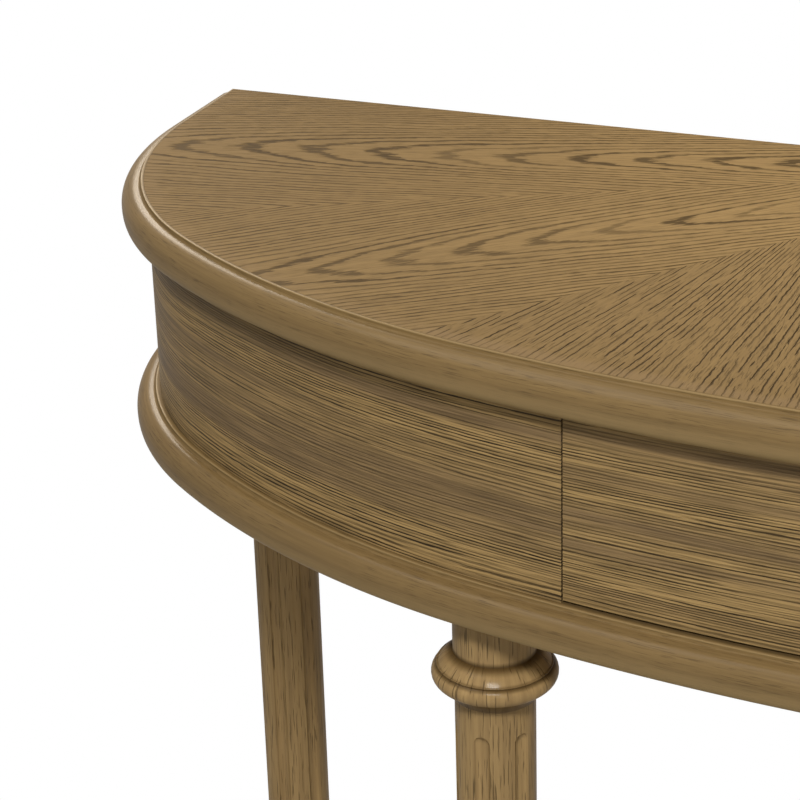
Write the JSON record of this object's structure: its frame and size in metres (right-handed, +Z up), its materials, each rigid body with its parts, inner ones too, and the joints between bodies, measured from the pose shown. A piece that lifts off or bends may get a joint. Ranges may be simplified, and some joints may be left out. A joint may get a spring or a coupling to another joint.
{
  "type": "demilune table",
  "caption": "Half-round console table with a sunburst veneered top, bull-nose mouldings, a flush bowed drawer and turned, fluted legs.",
  "frame": {"origin": "on the floor, under the middle of the table's overall box", "axes": "+X along the straight back to the right as seen from the front, -Y towards the bowed front, +Z up"},
  "size_m": [1.2228, 0.4328, 0.787],
  "materials": {
    "oak_veneer": "brown-stained oak veneer, open pores, satin",
    "oak_moulding": "brown-stained solid oak, satin",
    "oak_apron": "brown-stained straight-grained oak veneer, satin",
    "oak_leg": "brown-stained solid oak, satin",
    "case_board": "stained board, matt",
    "inner_wood": "plain softwood, unfinished",
    "drawer_wood": "pale plywood, clear matt lacquer",
    "zinc_steel": "zinc plated",
    "dark_nylon": "matt nylon"
  },
  "bodies": {
    "table": {"apron_left": "oak_apron", "apron_right": "oak_apron", "back_panel": "case_board", "base_moulding": "oak_moulding", "bottom_panel": "case_board", "corner_blocks": "inner_wood", "divider_left": "inner_wood", "divider_right": "inner_wood", "foot_glides": "dark_nylon", "latch_body": "dark_nylon", "leg_back_left": "oak_leg", "leg_back_right": "oak_leg", "leg_bolts": "zinc_steel", "leg_front_left": "oak_leg", "leg_front_right": "oak_leg", "leg_nuts": "zinc_steel", "leg_pad_back_left": "inner_wood", "leg_pad_back_right": "inner_wood", "leg_pad_front_left": "inner_wood", "leg_pad_front_right": "inner_wood", "leg_washers": "zinc_steel", "runner_cabinet_left": "zinc_steel", "runner_cabinet_right": "zinc_steel", "runner_cabinet_screws": "zinc_steel", "top_cleats": "inner_wood", "top_core": "case_board", "top_moulding": "oak_moulding", "top_screws": "zinc_steel", "veneer_inner_left": "oak_veneer", "veneer_inner_right": "oak_veneer", "veneer_middle": "oak_veneer", "veneer_outer_left": "oak_veneer", "veneer_outer_right": "oak_veneer"},
    "drawer": {"drawer_back": "drawer_wood", "drawer_bottom": "drawer_wood", "drawer_box_front": "drawer_wood", "drawer_front": "oak_apron", "drawer_front_screws": "zinc_steel", "drawer_side_left": "drawer_wood", "drawer_side_right": "drawer_wood", "runner_drawer_left": "zinc_steel", "runner_drawer_right": "zinc_steel", "runner_drawer_screws": "zinc_steel", "strike_plate": "zinc_steel"},
    "runner_middles": {"runner_middle_left": "zinc_steel", "runner_middle_right": "zinc_steel"},
    "outer_cages": {"outer_ball_cages": "zinc_steel"},
    "inner_cages": {"inner_ball_cages": "zinc_steel"},
    "latch_plunger": {"latch_plunger": "dark_nylon"}
  },
  "joints": [
    {"name": "drawer_slide", "type": "slide", "parent": "table", "child": "drawer", "axis": [0, -1, 0], "range_m": [0, 0.24]},
    {"name": "runner_middle_slide", "type": "slide", "parent": "table", "child": "runner_middles", "axis": [0, -1, 0], "range_m": [0, 0.12]},
    {"name": "outer_cage_roll", "type": "slide", "parent": "table", "child": "outer_cages", "axis": [0, -1, 0], "range_m": [0, 0.06]},
    {"name": "inner_cage_roll", "type": "slide", "parent": "table", "child": "inner_cages", "axis": [0, -1, 0], "range_m": [0, 0.18]},
    {"name": "latch_press", "type": "slide", "parent": "table", "child": "latch_plunger", "axis": [0, 1, 0], "range_m": [0, 0.003], "stiffness_N_per_m": 400}
  ],
  "couplings": [
    {"joint": "runner_middle_slide", "follows": "drawer_slide", "ratio": 0.5},
    {"joint": "outer_cage_roll", "follows": "drawer_slide", "ratio": 0.25},
    {"joint": "inner_cage_roll", "follows": "drawer_slide", "ratio": 0.75}
  ]
}
